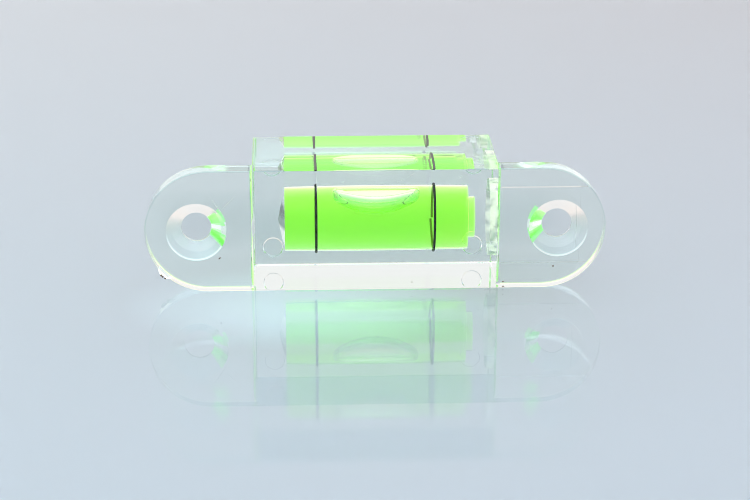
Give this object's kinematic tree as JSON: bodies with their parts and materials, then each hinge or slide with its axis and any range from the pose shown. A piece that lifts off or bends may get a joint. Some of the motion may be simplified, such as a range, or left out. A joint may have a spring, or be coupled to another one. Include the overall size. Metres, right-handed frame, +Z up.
{
  "type": "spirit level",
  "caption": "Clear acrylic block spirit level with a bubble in tinted liquid, black marking rings and two countersunk screw ears.",
  "frame": {"origin": "under the middle of the block, on the surface that the bottom faces stand on", "axes": "+X along the bore, +Y from the flat front face to the block's back, +Z up"},
  "size_m": [0.0546, 0.014, 0.015],
  "materials": {
    "clear_acrylic": "polished clear acrylic",
    "plug_acrylic": "clear acrylic, faintly green from the liquid behind it",
    "black_wire": "black coated wire",
    "green_liquid": "clear fluorescent yellow-green liquid",
    "air": "clear, the surface of an air bubble"
  },
  "bodies": {
    "level": {"acrylic_body": "clear_acrylic", "end_plug": "plug_acrylic", "left_ring": "black_wire", "right_ring": "black_wire", "liquid": "green_liquid"},
    "bubble": {"bubble": "air"}
  },
  "joints": [
    {"name": "bubble_slide", "type": "slide", "parent": "level", "child": "bubble", "axis": [1, 0, 0], "range_m": [-0.0055, 0.0055], "stiffness_N_per_m": 0.0014, "deforming": ["liquid"]}
  ]
}
